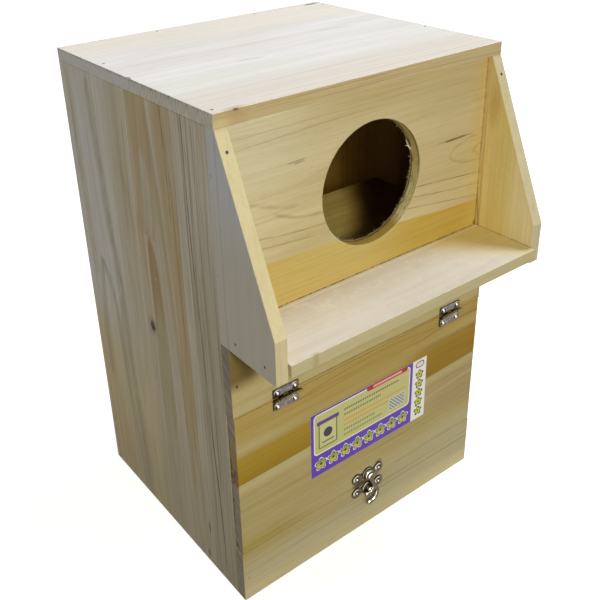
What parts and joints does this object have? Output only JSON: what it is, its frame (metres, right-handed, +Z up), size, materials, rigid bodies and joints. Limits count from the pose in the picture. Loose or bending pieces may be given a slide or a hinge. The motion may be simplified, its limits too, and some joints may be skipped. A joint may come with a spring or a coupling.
{
  "type": "wooden nest box",
  "caption": "Upright wooden nest box for a pet bird: round entrance over a sheltered porch, landing shelf inside, and a top-hung front door with hinges and a hook latch.",
  "frame": {"origin": "on the ground under the middle of the overall box, porch included", "axes": "+Z up, the entrance and the door face -Y, +X to the right of someone facing the entrance"},
  "size_m": [0.23, 0.2454, 0.36],
  "materials": {
    "top_wood": "planed bare softwood, pale",
    "side_wood": "planed bare softwood, streaked",
    "front_wood": "planed bare softwood, yellow cream",
    "porch_wood": "planed bare softwood, pale cream",
    "inner_wood": "rough bare softwood",
    "nail_steel": "plain wire nail",
    "hinge_nickel": "nickel plated, slightly worn",
    "latch_nickel": "antique nickel plate with dark hollows",
    "label_paper": "printed satin paper sticker"
  },
  "bodies": {
    "case": {"top_board": "top_wood", "left_side_board": "side_wood", "right_side_board": "side_wood", "hole_panel": "front_wood", "hinge_rail": "front_wood", "bottom_rail": "front_wood", "left_wing": "porch_wood", "right_wing": "porch_wood", "porch_floor": "porch_wood", "back_board": "inner_wood", "bottom_board": "inner_wood", "landing_shelf": "inner_wood", "top_board_nails": "nail_steel", "left_side_nails": "nail_steel", "right_side_nails": "nail_steel", "left_wing_nails": "nail_steel", "right_wing_nails": "nail_steel", "front_rail_nails": "nail_steel", "wing_front_nails": "nail_steel", "left_hinge_rail_leaf": "hinge_nickel", "right_hinge_rail_leaf": "hinge_nickel", "left_hinge_pin": "hinge_nickel", "right_hinge_pin": "hinge_nickel", "hinge_rail_nails": "hinge_nickel", "keeper_plate": "latch_nickel", "keeper_peg": "latch_nickel", "keeper_plate_nails": "latch_nickel"},
    "door": {"door": "front_wood", "label": "label_paper", "left_hinge_door_leaf": "hinge_nickel", "right_hinge_door_leaf": "hinge_nickel", "hinge_door_nails": "hinge_nickel", "latch_plate": "latch_nickel", "latch_plate_nails": "latch_nickel", "latch_rivet": "latch_nickel"},
    "hook": {"latch_hook": "latch_nickel"}
  },
  "joints": [
    {"name": "door_hinge", "type": "hinge", "parent": "case", "child": "door", "pos_m": [0, -0.07405, 0.16095], "axis": [-1, 0, 0], "range_deg": [0, 130]},
    {"name": "hook_pivot", "type": "hinge", "parent": "door", "child": "hook", "pos_m": [0.0005, -0.07525, 0.051], "axis": [0, -1, 0], "range_deg": [0, 100]}
  ]
}
